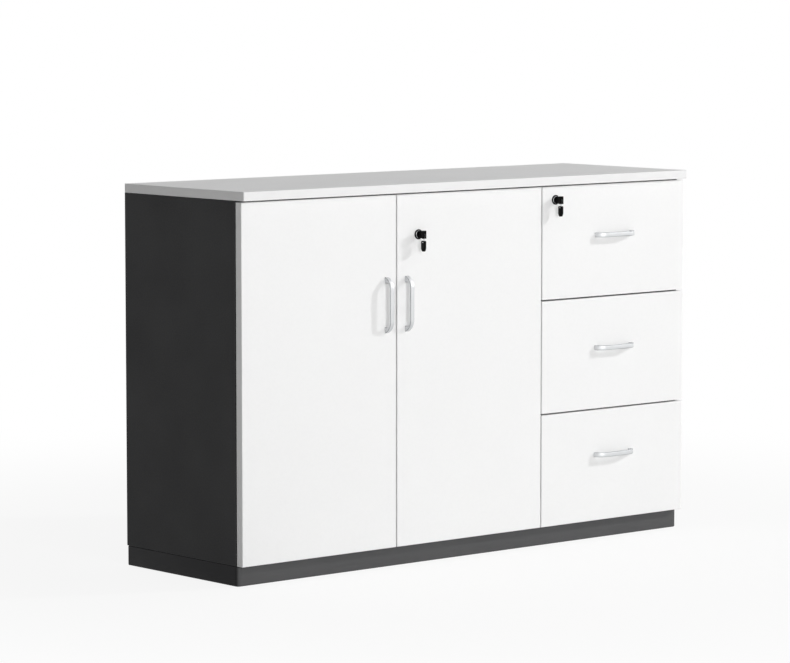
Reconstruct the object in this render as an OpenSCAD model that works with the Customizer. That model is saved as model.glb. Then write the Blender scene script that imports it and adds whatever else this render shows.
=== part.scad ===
// Office side cabinet with two hinged doors and three drawers, millimetres, Z up.
// The origin is on the floor, under the middle of the whole outline, handles included.
// The front looks along -Y.

/* [Overall] */
// Width over the two side panels
cabinet_w = 1200; // [1150:1:1600]
// Height from the floor to the upper face of the top
cabinet_h = 766; // [760:1:900]
// Depth of the top, from its front edge to its rear edge
top_d = 380; // [376:1:600]

/* [Boards] */
// Thickness of the top
top_t = 18; // [16:0.5:30]
// Thickness of side panels, partitions, bottom and shelves
board_t = 18; // [16:0.5:22]
// Thickness of doors and drawer fronts
door_t = 18; // [16:0.5:22]
// Thickness of the back panel
back_t = 8; // [5:0.5:12]
// Distance from the rear edges of the sides to the back panel
back_inset = 10; // [4:0.5:30]
// Depth of the grooves that hold the back panel
groove_depth = 6; // [3:0.5:8]
// Rounding of the banded edges
edge_r = 1.2; // [0.5:0.1:2]

/* [Fronts] */
// Distance from the left end to the gap between the two doors
first_gap_x = 394; // [370:1:450]
// Distance from the left end to the gap between right door and drawers
second_gap_x = 788.5; // [760:0.5:860]
// Gap between neighbouring fronts
front_gap = 3; // [2.5:0.1:4]
// Distance from the outer edge of a front to the end of the cabinet
side_reveal = 1; // [0:0.1:3]
// Gap between the fronts and the underside of the top
top_reveal = 3; // [2:0.1:6]
// Gap between the carcass and the closed fronts, filled by the buffers
door_gap = 2; // [1.5:0.1:2.5]
// How far the top stands in front of the doors
top_overhang = 9; // [4:0.5:20]

/* [Base frame] */
// Height of the base frame
base_h = 40; // [36:1:80]
// Sheet thickness of the base frame
base_wall = 2; // [1.5:0.1:3]
// Width of the upper flange, which carries the carcass
base_top_flange = 22; // [18:1:40]
// Width of the lower flange, which stands on the floor
base_foot_flange = 14; // [11:1:18]
// Outer radius of the upright corners
base_corner_r = 10; // [6:1:11]
// Outer radius of the long folds
base_fold_r = 2.5; // [2.2:0.1:3.5]
// Distance from the ends of the cabinet to the base frame
base_side_inset = 2; // [0:0.5:20]
// Distance from the door fronts back to the base frame
base_setback = 15; // [10:0.5:24]

/* [Handles] */
// Length of a handle
handle_l = 112; // [104:1:130]
// Distance between the two screws of a handle
handle_pitch = 96; // [88:1:100]
// Width of the handle strip
handle_w = 9.5; // [8:0.5:15]
// Thickness of the handle strip
handle_t = 3.6; // [3:0.2:5]
// Height of the straight inner side of a handle's foot
handle_toe_t = 8; // [7:0.5:9]
// How far a handle stands in front of its door or drawer
handle_reach = 18; // [16:0.5:22]
// Outer radius of the handle's bends, at least its reach
handle_bend_r = 26; // [22:1:32]
// Distance from the top edge of a door to the middle of its handle
door_handle_drop = 218; // [120:1:300]
// Distance from the free edge of a door to the middle of its handle
door_handle_inset = 25; // [20:0.5:40]
// Distance from the top edge of the two upper drawers to their handles
drawer_handle_drop = 105; // [92:0.5:120]
// Distance from the top edge of the lowest drawer to its handle
low_handle_drop = 94; // [92:0.5:120]

/* [Hinges] */
// Distance from the ends of a door to the middle of its hinges
hinge_end = 100; // [70:1:160]
// Outer diameter of the hinge cup
cup_d = 35; // [35:0.5:36]
// Depth of the hinge cup below the inner face of the door
cup_depth = 11.8; // [11.6:0.1:12.5]
// Distance from the door edge to the centre of the cup
cup_x = 22.5; // [22:0.1:23.5]
// Distance from the door edge to the pivot of the main link on the arm
arm_pivot_x = 28.7; // [28:0.1:30]
// Distance from the carcass front back to the arm pivots
arm_pivot_y = 9; // [8.5:0.1:10]
// Distance from the door edge to the pivot in the cup
cup_pivot_x = 9.3; // [9.2:0.1:10]
// Depth of the pivot in the cup below the inner face of the door
cup_pivot_depth = 6.9; // [6.5:0.1:7.5]

/* [Drawers] */
// Free space behind the slides, in front of the back panel
slide_rear_gap = 13; // [5:1:60]
// Height of the slides
slide_h = 45.6; // [40:0.2:50]
// Space that a slide takes between drawer and cabinet
slide_space = 12.7; // [12.2:0.1:14]
// Distance from the carcass front to the slides
slide_setback = 20; // [20:0.5:30]
// Height of the middle of a slide above the lower edge of its drawer front
slide_rise = 60; // [55:0.5:62]
// Distance from the upper rim of a drawer box to the top edge of its front
box_head = 56; // [53:1:80]
// Height of a drawer box above the lower edge of its front
box_rise = 21; // [20:0.5:24]
// Sheet thickness of a drawer box
box_wall = 1.2; // [0.8:0.1:1.5]
// Width of the turned rim of a drawer box
box_rim = 9; // [5:0.5:14]

/* [Locks] */
// Distance from the top edge of the right door to its lock
door_lock_drop = 81; // [60:0.5:110]
// Distance from the free edge of the right door to its lock
door_lock_inset = 55.5; // [50:0.5:58]
// Distance from the top edge of the top drawer to its lock
drawer_lock_drop = 27.5; // [27:0.5:30]
// Distance from the left edge of the top drawer to its lock
drawer_lock_inset = 36; // [34:0.5:40]
// Diameter of the ring of a lock
lock_ring_d = 20; // [19:0.5:26]
// Diameter of the threaded body of a lock
lock_body_d = 18; // [17:0.5:18.5]
// Diameter of the turning core of a lock
lock_core_d = 13; // [12:0.5:14]
// Length of a lock behind the face of the front
lock_l = 23.6; // [23.2:0.1:24.5]
// Reach of the door lock's cam from its axis
cam_reach = 44; // [42:0.5:46]
// How far the key stands in front of the door
key_reach = 21; // [19:0.5:21]
// Height of the key's head
key_head_h = 16; // [14:0.5:18]
// Thickness of the key's head
key_head_t = 6; // [5.5:0.1:7]
// Width of the folding grip of the key
bow_w = 10; // [8:0.5:11]
// Thickness of the folding grip
bow_t = 3.6; // [3:0.1:5]
// Length of the folding grip
bow_l = 21.4; // [18:0.2:30]

/* [Shelves] */
// Height of the upper face of the shelves above the bottom panel
shelf_rise = 342; // [200:1:440]
// Distance from the carcass front to the shelves
shelf_setback = 24; // [22:1:60]
// Diameter of the shelf pins
pin_d = 5; // [4:0.5:6]

/* [Hidden] */
$fn = 48;

white = [0.93, 0.93, 0.92];
charcoal = [0.17, 0.17, 0.18];
steel = [0.72, 0.73, 0.74];
satin = [0.80, 0.80, 0.79];
black = [0.06, 0.06, 0.06];
zinc = [0.62, 0.63, 0.65];
clear_grey = [0.75, 0.76, 0.76];

// Small fits
eps = 0.01;
fit = 0.1;
screw_fit = 0.05;

// Main planes
x_left = -cabinet_w / 2;
x_right = cabinet_w / 2;
overall_d = top_d + handle_reach - top_overhang;
front_y = -overall_d / 2 + handle_reach;
door_back_y = front_y + door_t;
carcass_y = door_back_y + door_gap;
rear_y = overall_d / 2;
top_y = front_y - top_overhang;
back_y = rear_y - back_inset - back_t;
top_z = cabinet_h - top_t;
floor_z = base_h + board_t;
front_z0 = base_h;
front_z1 = top_z - top_reveal;

// Columns
first_gap = x_left + first_gap_x;
second_gap = x_left + second_gap_x;
inner_left = x_left + board_t;
inner_right = x_right - board_t;
part_a0 = first_gap - board_t / 2;
part_a1 = first_gap + board_t / 2;
part_b0 = second_gap - board_t / 2;
part_b1 = second_gap + board_t / 2;
left_door_x = [x_left + side_reveal, first_gap - front_gap / 2];
right_door_x = [first_gap + front_gap / 2, second_gap - front_gap / 2];
drawer_x = [second_gap + front_gap / 2, x_right - side_reveal];
drawer_count = 3;
drawer_h = (front_z1 - front_z0 - (drawer_count - 1) * front_gap) / drawer_count;
function drawer_z(n) = front_z0 + (drawer_count - n) * (drawer_h + front_gap);
function handle_drop(n) = n == drawer_count ? low_handle_drop : drawer_handle_drop;

// Screws: [shank diameter, head diameter, head height]
handle_screw = [3.9, 8, 2.2];
cup_screw = [3, 7, 1.4];
plate_screw = [5, 8.5, 1.6];
slide_screw = [3.5, 7, 0.8];
base_screw = [4, 9, 2.4];
handle_slope = 10;
handle_foot_in = 4;
handle_hole_depth = 8;
handle_bend_x = handle_l / 2 - sqrt(handle_reach * (2 * handle_bend_r - handle_reach));
foot_flat = 14;
foot_taper_z = 14;

// Hinge, in plan: x from the door's edge, y from the carcass front
hinge_z = [front_z0 + hinge_end, front_z1 - hinge_end];
arm_pivot = [arm_pivot_x, arm_pivot_y];
inner_pivot = [arm_pivot_x + 8.3, arm_pivot_y];
cup_pivot = [cup_pivot_x, -door_gap - cup_pivot_depth];
link_bend_r = 11;
link_low_y = cup_pivot[1] - 2.6;
inner_tip = [cup_pivot_x + 6.4, cup_pivot[1] - 2];
link_half_t = 1.1;
main_half_z = 3.2;
inner_z = [3.7, 5.2];
cheek_z = [5.7, 7.2];
arm_pin_r = 1.5;
cup_pin_r = 1.25;
cup_wall = 1;
cup_flange_t = 1.1;
cup_screw_z = 24;
cup_screw_x = cup_x + 6;
plate_screw_z = 16;
plate_screw_y = 37;
plate_t = 2;
plate_y0 = 20;
plate_l = 44;
plate_w = 16;
arm_block_y0 = 26;
arm_block_l = 30;
clamp_y = 50;
arm_end_y = 60;
arm_depth = 12;
arm_neck_y = 24;
arm_back = arm_depth + 2;
cheek_edge = [3.9, 3.6];
cheek_nose = [5, 4];
cheek_heel = 7;
web_half_t = 0.75;
web_x = 4.2;
web_y = [-1, 3.6];
block_play = 0.2;
clamp_r = 3;
clamp_head = [4.5, 1.6];
rivet_head = 0.3;
link_eye_r = [3, 2.4];
inner_eye_r = 2.6;
inner_half_t = 0.9;
inner_bend = [3, 0.4];
inner_knee = [3.4, -6];
inner_turn = 78;
cup_lip = 2;
cup_floor_t = 0.8;
cup_wing_r = 6;
cup_notch = [3.5, 16];
through = 20;
wood_hole = 11;
left_seat = inner_left - left_door_x[0];
right_seat = right_door_x[1] - part_b0;

// Slides, across their thickness from the cabinet side
slide_z_off = [slide_h / 2, slide_h / 2 - 3, slide_h / 2 - 7.2];
slide_sheet = 1.2;
middle_x = 2.4;
runner_x = slide_space - slide_sheet;
slide_y0 = carcass_y + slide_setback;
slide_y1 = back_y - slide_rear_gap;
slide_l = slide_y1 - slide_y0;
slide_tail = 3;
ball_travel = 0.4 * slide_l;
ball_inset = 20;
slide_screw_inset = 35;
slide_screw_y = [slide_y0 + slide_screw_inset, slide_y1 - slide_screw_inset];
box_x = [part_b1 + slide_space, inner_right - slide_space];
box_y1 = slide_y1 + slide_tail;
box_h = drawer_h - box_rise - box_head;
box_screw_in = 40;
box_screw_edge = 30;
box_screw_x = [box_x[0] + box_screw_in, box_x[1] - box_screw_in];
box_screw_z = [box_screw_edge, box_h - box_screw_edge];
function slide_z(n) = drawer_z(n) + slide_rise;
function box_z(n) = drawer_z(n) + box_rise;

// Locks
door_lock = [right_door_x[0] + door_lock_inset, front_z1 - door_lock_drop];
drawer_lock = [drawer_x[0] + drawer_lock_inset, front_z1 - drawer_lock_drop];
lock_ring_t = 1.5;
nut = [25, 3.4];
square_half = 3;
cam_hub_r = 8;
door_cam_half = 6;
bar_cam_half = 3.2;
strike_h = 32;
strike_l = 30;
strike_lip = [24, 2];
strike_screw_z = 9;
strike_screw_y = 20;
lock_end_y = front_y + lock_l;
cam_t = 1.8;
cam_y = lock_end_y + 0.4;
key_neck_h = key_head_h - 2;
key_neck_l = 13;
bow_axis_y = front_y - key_reach + 4;
bow_slot = 2.6;
bow_tongue_t = 2;
bow_start = key_head_h / 2 + 4.2;
bow_tip_y = front_y - key_reach - 1;
strike_t = 1.5;
strike_flange = 13;
strike_y = cam_y - 3;

// Bar that locks all drawers, driven by a pin on the drawer lock's cam
bar_gap = 0.3;
bar_t = 1.6;
bar_w = 7;
bar_y0 = cam_y + cam_t + 1.7;
bar_y1 = bar_y0 + bar_w;
bar_pin_r = 1.5;
bar_arm = drawer_lock[0] - part_b1 - 4;
bar_lift = 2 * bar_arm * sin(45);
bar_pin_z = drawer_lock[1] - bar_arm * sin(45);
bar_slot = 5.2;
fork_wall = 4;
fork_reach = 11.7;
lug_reach = 10;
lug_h = 10;
bar_tail = 20;
stud_d = 6;
stud_l = 7.2;
stud_play = 2;
stud_drop = 98;
guide_drop = 73;
stud_rise = drawer_h - stud_drop;
guide_rise = drawer_h - guide_drop;
guide_h = 10;
guide_wall = 2.4;
guide_fit = 0.3;
guide_reach = 4;
stud_y = bar_y1 + stud_play + stud_d / 2;

// Adjustable parts
shelf_z = floor_z + shelf_rise;
pin_row_front = 60;
pin_row_back = 50;
pin_rows = [carcass_y + pin_row_front, back_y - pin_row_back];
pin_hole_depth = 11;
pin_holes = 4;
pin_out = 6;
pin_collar = 1.2;
pin_hole_step = 32;
left_bay = [inner_left, part_a0];
right_bay = [part_a1, part_b0];
shelf_side_fit = 0.4;
buffer_end = 26;
buffer_r = 3;

// Base frame
base_x = [x_left + base_side_inset, x_right - base_side_inset];
base_y = [front_y + base_setback, rear_y - 4];
foot_inset = 46;
gusset = 70;
foot_d = 30;
foot_stud_d = 8;
foot_nut = [14, 6];
base_screw_l = 14;
feet = [for (x = [base_x[0] + foot_inset, base_x[1] - foot_inset],
             y = [base_y[0] + foot_inset, base_y[1] - foot_inset]) [x, y]];
base_screw_inset = [130, base_top_flange / 2 + 3];
base_screw_at = [for (x = [base_x[0] + base_screw_inset[0], -10, base_x[1] - base_screw_inset[0]],
                      y = [base_y[0] + base_screw_inset[1], base_y[1] - base_screw_inset[1]]) [x, y]];

// Flat shapes and boards

module round_rect(w, h, r) {
    translate([r, 0]) square([w - 2 * r, h]);
    translate([0, r]) square([w, h - 2 * r]);
    for (x = [r, w - r], y = [r, h - r]) translate([x, y]) circle(r, $fn = 24);
}

// Board between two corners, with all its edges rounded
module edged_board(lo, hi, r = edge_r) {
    size = hi - lo;
    intersection() {
        translate(lo) linear_extrude(size[2]) round_rect(size[0], size[1], r);
        translate(lo) rotate([90, 0, 90]) linear_extrude(size[0]) round_rect(size[1], size[2], r);
        translate([lo[0], hi[1], lo[2]]) rotate([90, 0, 0])
            linear_extrude(size[1]) round_rect(size[0], size[2], r);
    }
}

module plain_board(lo, hi) {
    translate(lo) cube(hi - lo);
}

// Cylinder along +Y, from a point on its axis
module y_rod(x, y, z, r, l) {
    translate([x, y, z]) rotate([-90, 0, 0]) cylinder(r = r, h = l);
}

// Cylinder along X from a point, towards +X for dir 1 and -X for dir -1
module x_rod(x, y, z, r, l, dir = 1) {
    translate([x, y, z]) rotate([0, 90 * dir, 0]) cylinder(r = r, h = l);
}

// Screw along +Y whose head sits in front of y and whose shank goes to -Y
module front_screw(x, y, z, s, l) {
    y_rod(x, y, z, s[1] / 2, s[2]);
    y_rod(x, y - l, z, s[0] / 2, l + eps);
}

// Points of a path moved sideways by s
function turn(v) = [-v[1], v[0]] / norm(v);
function path_normal(p, i) =
    let (a = i == 0 ? turn(p[1] - p[0]) : turn(p[i] - p[i - 1]),
         b = i == len(p) - 1 ? a : turn(p[i + 1] - p[i]))
    (a + b) / (1 + a * b);
function strip(p, s) = concat(
    [for (i = [0 : len(p) - 1]) p[i] + s * path_normal(p, i)],
    [for (i = [len(p) - 1 : -1 : 0]) p[i] - s * path_normal(p, i)]);
function arc(c, r, a0, a1, n) =
    [for (i = [0 : n]) c + r * [cos(a0 + (a1 - a0) * i / n), sin(a0 + (a1 - a0) * i / n)]];

// Carcass

module top_panel() {
    color(white) edged_board([x_left, top_y, top_z], [x_right, rear_y, cabinet_h], 1.5);
}

// Rows of shelf pin holes in a face, drilled along dir
module pin_hole_rows(x, dir) {
    for (y = pin_rows, i = [-pin_holes : pin_holes])
        x_rod(x - dir * eps, y, shelf_z - board_t - pin_d / 2 + i * pin_hole_step,
              pin_d / 2 + fit, pin_hole_depth, dir);
}

module hinge_plate_holes(x, dir) {
    for (z = hinge_z, s = [-1, 1])
        x_rod(x - dir * eps, carcass_y + plate_screw_y, z + s * plate_screw_z,
              plate_screw[0] / 2 + screw_fit, wood_hole + 0.5, dir);
}

module slide_holes(x, dir) {
    for (n = [1 : drawer_count], y = slide_screw_y)
        x_rod(x - dir * eps, y, slide_z(n), slide_screw[0] / 2 + screw_fit, wood_hole + 0.5, dir);
}

// Groove for the back panel, cut from x0 to x1
module back_groove(x0, x1) {
    translate([x0, back_y - fit, floor_z - groove_depth])
        cube([x1 - x0, back_t + 2 * fit, top_z - floor_z + groove_depth + 1]);
}

module left_side_panel() {
    color(charcoal) difference() {
        edged_board([x_left, carcass_y, base_h], [inner_left, rear_y, top_z]);
        back_groove(inner_left - groove_depth, inner_left + 1);
        pin_hole_rows(inner_left, -1);
        hinge_plate_holes(inner_left, -1);
    }
}

module right_side_panel() {
    color(charcoal) difference() {
        edged_board([inner_right, carcass_y, base_h], [x_right, rear_y, top_z]);
        back_groove(inner_right - 1, inner_right + groove_depth);
        slide_holes(inner_right, 1);
    }
}

module door_partition() {
    color(charcoal) difference() {
        plain_board([part_a0, carcass_y, floor_z], [part_a1, back_y, top_z]);
        pin_hole_rows(part_a0, 1);
        translate([0, 0, pin_hole_step / 2]) pin_hole_rows(part_a1, -1);
        strike_screws(0.5 * screw_fit + screw_fit, 9);
    }
}

module drawer_partition() {
    color(charcoal) difference() {
        plain_board([part_b0, carcass_y, floor_z], [part_b1, back_y, top_z]);
        translate([0, 0, pin_hole_step / 2]) pin_hole_rows(part_b0, 1);
        hinge_plate_holes(part_b0, 1);
        slide_holes(part_b1, -1);
    }
}

module bottom_panel() {
    color(charcoal) difference() {
        plain_board([inner_left, carcass_y, base_h], [inner_right, rear_y, floor_z]);
        translate([inner_left - 1, back_y - fit, floor_z - groove_depth])
            cube([inner_right - inner_left + 2, back_t + 2 * fit, groove_depth + 1]);
        for (p = base_screw_at) translate([p[0], p[1], base_h - eps])
            cylinder(d = base_screw[0] + 2 * screw_fit, h = base_screw_l - base_wall + 1);
        for (p = feet) translate([p[0], p[1], base_h - eps]) cylinder(d = foot_stud_d + 4, h = board_t + 1);
    }
}

module back_panel() {
    color(charcoal) plain_board(
        [inner_left - groove_depth + fit, back_y, floor_z - groove_depth + fit],
        [inner_right + groove_depth - fit, back_y + back_t, top_z]);
}

module shelf(bay, dz) {
    edged_board([bay[0] + shelf_side_fit, carcass_y + shelf_setback, shelf_z - board_t + dz],
                [bay[1] - shelf_side_fit, back_y - 2, shelf_z + dz], 0.8);
}

module shelves() {
    color(charcoal) {
        shelf(left_bay, 0);
        shelf(right_bay, pin_hole_step / 2);
    }
}

// Pin with a collar, standing out of a face at x towards dir
module shelf_pin(x, y, z, dir) {
    x_rod(x - dir * (pin_hole_depth - 1), y, z, pin_d / 2, pin_hole_depth + pin_out, dir);
    x_rod(x, y, z, pin_d / 2 + pin_collar, pin_collar, dir);
}

module shelf_pins() {
    pin_z = shelf_z - board_t - pin_d / 2;
    step = pin_hole_step / 2;
    color(steel) difference() {
        for (y = pin_rows) {
            shelf_pin(left_bay[0], y, pin_z, 1);
            shelf_pin(left_bay[1], y, pin_z, -1);
            shelf_pin(right_bay[0], y, pin_z + step, 1);
            shelf_pin(right_bay[1], y, pin_z + step, -1);
        }
        for (b = [[left_bay, 0], [right_bay, step]])
            plain_board([b[0][0], carcass_y, shelf_z - board_t + b[1]], [b[0][1], back_y, shelf_z + b[1]]);
    }
}

// Base frame

// Section of the frame: x inwards from its outer face, y upwards
module base_section(inner = base_top_flange + eps) {
    difference() {
        union() {
            translate([base_fold_r, 0]) square([base_top_flange - base_fold_r, base_h]);
            translate([0, base_fold_r]) square([base_fold_r + eps, base_h - 2 * base_fold_r]);
            for (y = [base_fold_r, base_h - base_fold_r])
                translate([base_fold_r, y]) circle(base_fold_r, $fn = 32);
        }
        translate([base_wall, base_wall]) square([base_top_flange, base_h - 2 * base_wall]);
        translate([base_foot_flange, -1]) square([base_top_flange, base_h / 2]);
        translate([inner, -1]) square([base_top_flange, base_h + 2]);
    }
}

module base_side_run(l) {
    rotate([90, 0, 90]) linear_extrude(l) base_section();
}

module base_corner() {
    rotate([0, 0, 180]) rotate_extrude(angle = 90, $fn = 64)
        translate([base_corner_r, 0]) mirror([1, 0]) base_section(base_corner_r);
}

module base_quarter(w, d) {
    translate([base_corner_r, base_corner_r, 0]) base_corner();
    translate([base_corner_r, 0, 0]) base_side_run(w / 2 - base_corner_r + eps);
    translate([0, base_corner_r, 0]) mirror([1, -1, 0]) base_side_run(d / 2 - base_corner_r + eps);
}

module base_frame() {
    w = base_x[1] - base_x[0];
    d = base_y[1] - base_y[0];
    mid = [(base_x[0] + base_x[1]) / 2, (base_y[0] + base_y[1]) / 2, 0];
    color(charcoal) difference() {
        union() {
            for (mx = [0, 1], my = [0, 1])
                translate(mid) mirror([mx, 0, 0]) mirror([0, my, 0])
                    translate([-w / 2, -d / 2, 0]) base_quarter(w, d);
            for (p = feet) {
                sx = sign(p[0] - mid[0]);
                sy = sign(p[1] - mid[1]);
                translate([p[0] + sx * (foot_inset - base_wall - gusset / 2),
                           p[1] + sy * (foot_inset - base_wall - gusset / 2), base_h - base_wall / 2])
                    cube([gusset, gusset, base_wall], center = true);
                translate([p[0], p[1], base_h - base_wall - foot_nut[1]])
                    cylinder(d = foot_nut[0], h = foot_nut[1] + eps, $fn = 6);
            }
        }
        for (p = feet) translate([p[0], p[1], base_h / 2])
            cylinder(d = foot_stud_d + 2 * screw_fit, h = base_h);
        for (p = base_screw_at) translate([p[0], p[1], base_h - base_wall - 1])
            cylinder(d = base_screw[0] + 2 * screw_fit, h = base_wall + 2);
    }
}

module base_screws() {
    for (p = base_screw_at) translate([p[0], p[1], base_h - base_wall]) {
        translate([0, 0, -base_screw[2]]) cylinder(d = base_screw[1], h = base_screw[2]);
        translate([0, 0, -eps]) cylinder(d = base_screw[0], h = base_screw_l);
    }
}

module carcass_screws() {
    color(zinc) {
        base_screws();
        slide_screws();
    }
}

module levelling_feet() {
    color(black) for (p = feet) translate([p[0], p[1], 0]) {
        cylinder(d1 = foot_d - 2, d2 = foot_d, h = 2);
        translate([0, 0, 2 - eps]) cylinder(d = foot_d, h = 3);
        translate([0, 0, 5 - eps]) cylinder(d1 = foot_d - 4, d2 = foot_flat, h = foot_taper_z - 5);
        translate([0, 0, foot_taper_z - eps]) cylinder(d = foot_stud_d, h = base_h - foot_taper_z + 6);
    }
}

// Handles

// Side view of a handle: x along it, y out of the door. Its bends meet the door at a slant.
module handle_outline(reach, r) {
    intersection() {
        union() {
            translate([-handle_bend_x, 0]) square([2 * handle_bend_x, reach]);
            for (s = [-1, 1]) translate([s * handle_bend_x, reach - r]) circle(r, $fn = 96);
        }
        translate([-handle_l / 2, 0]) square([handle_l, reach]);
    }
}

// Thick foot at one end of a handle, outside the finger opening
module handle_foot() {
    toe = handle_pitch / 2 - handle_foot_in;
    polygon([[handle_l / 2, -1], [toe, -1], [toe, handle_toe_t],
             [toe + handle_slope, handle_toe_t + handle_slope],
             [handle_l / 2, handle_toe_t + handle_slope]]);
}

// Handle standing on z = 0, along X
module handle_bar() {
    difference() {
        rotate([90, 0, 0]) translate([0, 0, -handle_w / 2]) linear_extrude(handle_w) {
            difference() {
                handle_outline(handle_reach, handle_bend_r);
                difference() {
                    translate([0, -eps])
                        handle_outline(handle_reach - handle_t + eps, handle_bend_r - handle_t);
                    handle_foot();
                    mirror([1, 0]) handle_foot();
                }
            }
        }
        for (s = [-1, 1]) translate([s * handle_pitch / 2, 0, -eps])
            cylinder(d = handle_screw[0] + 2 * screw_fit, h = handle_hole_depth);
    }
}

module handle_at(x, z, upright) {
    color(satin) translate([x, front_y, z]) rotate([90, 0, 0]) rotate([0, 0, upright ? 90 : 0]) handle_bar();
}

// Where the two screws of a handle go, as [x, z]
function handle_screw_at(x, z, upright) =
    [for (s = [-1, 1]) upright ? [x, z + s * handle_pitch / 2] : [x + s * handle_pitch / 2, z]];

door_handle_z = front_z1 - door_handle_drop;
left_handle_x = left_door_x[1] - door_handle_inset;
right_handle_x = right_door_x[0] + door_handle_inset;
drawer_mid_x = (drawer_x[0] + drawer_x[1]) / 2;
function drawer_handle_z(n) = drawer_z(n) + drawer_h - handle_drop(n);

// Hinges

// Puts a hinge shape, drawn in plan at z = 0, at both hinges of a door
module at_hinges(right) {
    for (z = hinge_z) {
        if (right) translate([right_door_x[1], carcass_y, z]) mirror([1, 0, 0]) children();
        else translate([left_door_x[0], carcass_y, z]) children();
    }
}

module hinge_plate(seat) {
    difference() {
        union() {
            translate([seat, plate_y0, -plate_w / 2]) cube([plate_t, plate_l, plate_w]);
            translate([seat, plate_screw_y - plate_w / 2, -plate_screw_z - plate_w / 2])
                cube([plate_t, plate_w, 2 * plate_screw_z + plate_w]);
            translate([seat, arm_block_y0, -cheek_z[0] + block_play])
                cube([arm_depth - 2, arm_block_l, 2 * (cheek_z[0] - block_play)]);
        }
        for (s = [-1, 1]) x_rod(seat - 1, plate_screw_y, s * plate_screw_z,
                                plate_screw[0] / 2 + screw_fit, plate_t + 2);
        x_rod(seat + 3, clamp_y, 0, clamp_r + screw_fit, arm_depth);
    }
}

module hinge_plates() {
    color(zinc) {
        at_hinges(false) hinge_plate(left_seat);
        at_hinges(true) hinge_plate(right_seat);
    }
}

function arm_outline(s) = [
    arm_pivot - cheek_edge, [inner_pivot[0] + cheek_nose[0], arm_pivot[1] - cheek_edge[1]],
    inner_pivot + cheek_nose, [s + arm_back, arm_neck_y], [s + arm_back, arm_end_y],
    [s + plate_t + fit, arm_end_y], [s + plate_t + fit, arm_neck_y - 2],
    [arm_pivot[0] - cheek_edge[0], arm_pivot[1] + cheek_heel]];

function arm_web(s) = strip([
    inner_pivot + [web_x, web_y[0]], inner_pivot + [web_x, web_y[1]],
    [s + arm_back - 0.8, arm_neck_y - 0.2], [s + arm_back - 0.8, arm_end_y]], web_half_t);

module hinge_arm(seat) {
    difference() {
        union() {
            for (m = [0, 1]) mirror([0, 0, m]) translate([0, 0, cheek_z[0]])
                linear_extrude(cheek_z[1] - cheek_z[0]) polygon(arm_outline(seat));
            linear_extrude(2 * cheek_z[1] - 1, center = true) polygon(arm_web(seat));
            for (p = [arm_pivot, inner_pivot]) translate([p[0], p[1], 0])
                cylinder(r = arm_pin_r, h = 2 * (cheek_z[1] + rivet_head), center = true);
        }
        x_rod(seat + arm_depth - 1, clamp_y, 0, clamp_r + screw_fit, 6);
    }
}

module hinge_arms() {
    color(steel) {
        at_hinges(false) hinge_arm(left_seat);
        at_hinges(true) hinge_arm(right_seat);
    }
}

module hinge_link() {
    centre = [arm_pivot[0] - link_bend_r, link_low_y + link_bend_r];
    path = concat([arm_pivot], arc(centre, link_bend_r, 0, -90, 9), [cup_pivot]);
    difference() {
        linear_extrude(2 * main_half_z, center = true) {
            polygon(strip(path, link_half_t));
            translate(arm_pivot) circle(link_eye_r[0]);
            translate(cup_pivot) circle(link_eye_r[1]);
        }
        translate([arm_pivot[0], arm_pivot[1], 0])
            cylinder(r = arm_pin_r + screw_fit, h = through, center = true);
        translate([cup_pivot[0], cup_pivot[1], 0])
            cylinder(r = cup_pin_r + screw_fit, h = through, center = true);
    }
}

module hinge_inner_link() {
    centre = [arm_pivot[0] - link_bend_r, link_low_y + link_bend_r] + inner_bend;
    path = concat([inner_pivot, arm_pivot + inner_knee],
                  arc(centre, link_bend_r, 0, -inner_turn, 8), [inner_tip]);
    difference() {
        union() {
            for (m = [0, 1]) mirror([0, 0, m]) translate([0, 0, inner_z[0]])
                linear_extrude(inner_z[1] - inner_z[0]) {
                    polygon(strip(path, inner_half_t));
                    translate(inner_pivot) circle(inner_eye_r);
                }
            translate([inner_pivot[0], inner_pivot[1], 0])
                cylinder(r = link_eye_r[1], h = 2 * inner_z[1], center = true);
        }
        translate([inner_pivot[0], inner_pivot[1], 0])
            cylinder(r = arm_pin_r + screw_fit, h = through, center = true);
    }
}

module hinge_cup() {
    inner_r = cup_d / 2 - cup_wall;
    back = -door_gap;
    difference() {
        union() {
            y_rod(cup_x, back - cup_depth, 0, cup_d / 2, cup_depth + eps);
            y_rod(cup_x, back, 0, cup_d / 2 + cup_lip, cup_flange_t);
            for (s = [-1, 1]) y_rod(cup_screw_x, back, s * cup_screw_z, cup_wing_r, cup_flange_t);
            translate([cup_screw_x - cup_wing_r, back, -cup_screw_z])
                cube([2 * cup_wing_r, cup_flange_t, 2 * cup_screw_z]);
        }
        y_rod(cup_x, back - cup_depth + cup_floor_t, 0, inner_r, cup_depth + 4);
        translate([cup_x - cup_d, back, -cup_notch[1] / 2])
            cube([cup_d - inner_r + cup_notch[0], 5, cup_notch[1]]);
        for (s = [-1, 1]) y_rod(cup_screw_x, back - 1, s * cup_screw_z, cup_screw[0] / 2 + screw_fit, 5);
    }
    half = sqrt(inner_r * inner_r - pow(cup_x - cup_pivot[0], 2)) + 0.4;
    translate([cup_pivot[0], cup_pivot[1], 0]) cylinder(r = cup_pin_r, h = 2 * half, center = true);
}

// Bores of cup and cup screws in a door
module cup_holes() {
    y_rod(cup_x, -door_gap - cup_depth - fit, 0, cup_d / 2 + fit, cup_depth + 2);
    for (s = [-1, 1]) y_rod(cup_screw_x, -door_gap - 10, s * cup_screw_z,
                            cup_screw[0] / 2 + screw_fit, 11);
}

module fitting_screws() {
    color(zinc) {
        at_hinges(false) hinge_screw_set(left_seat);
        at_hinges(true) hinge_screw_set(right_seat);
        strike_screws(0, 8);
    }
}

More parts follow.
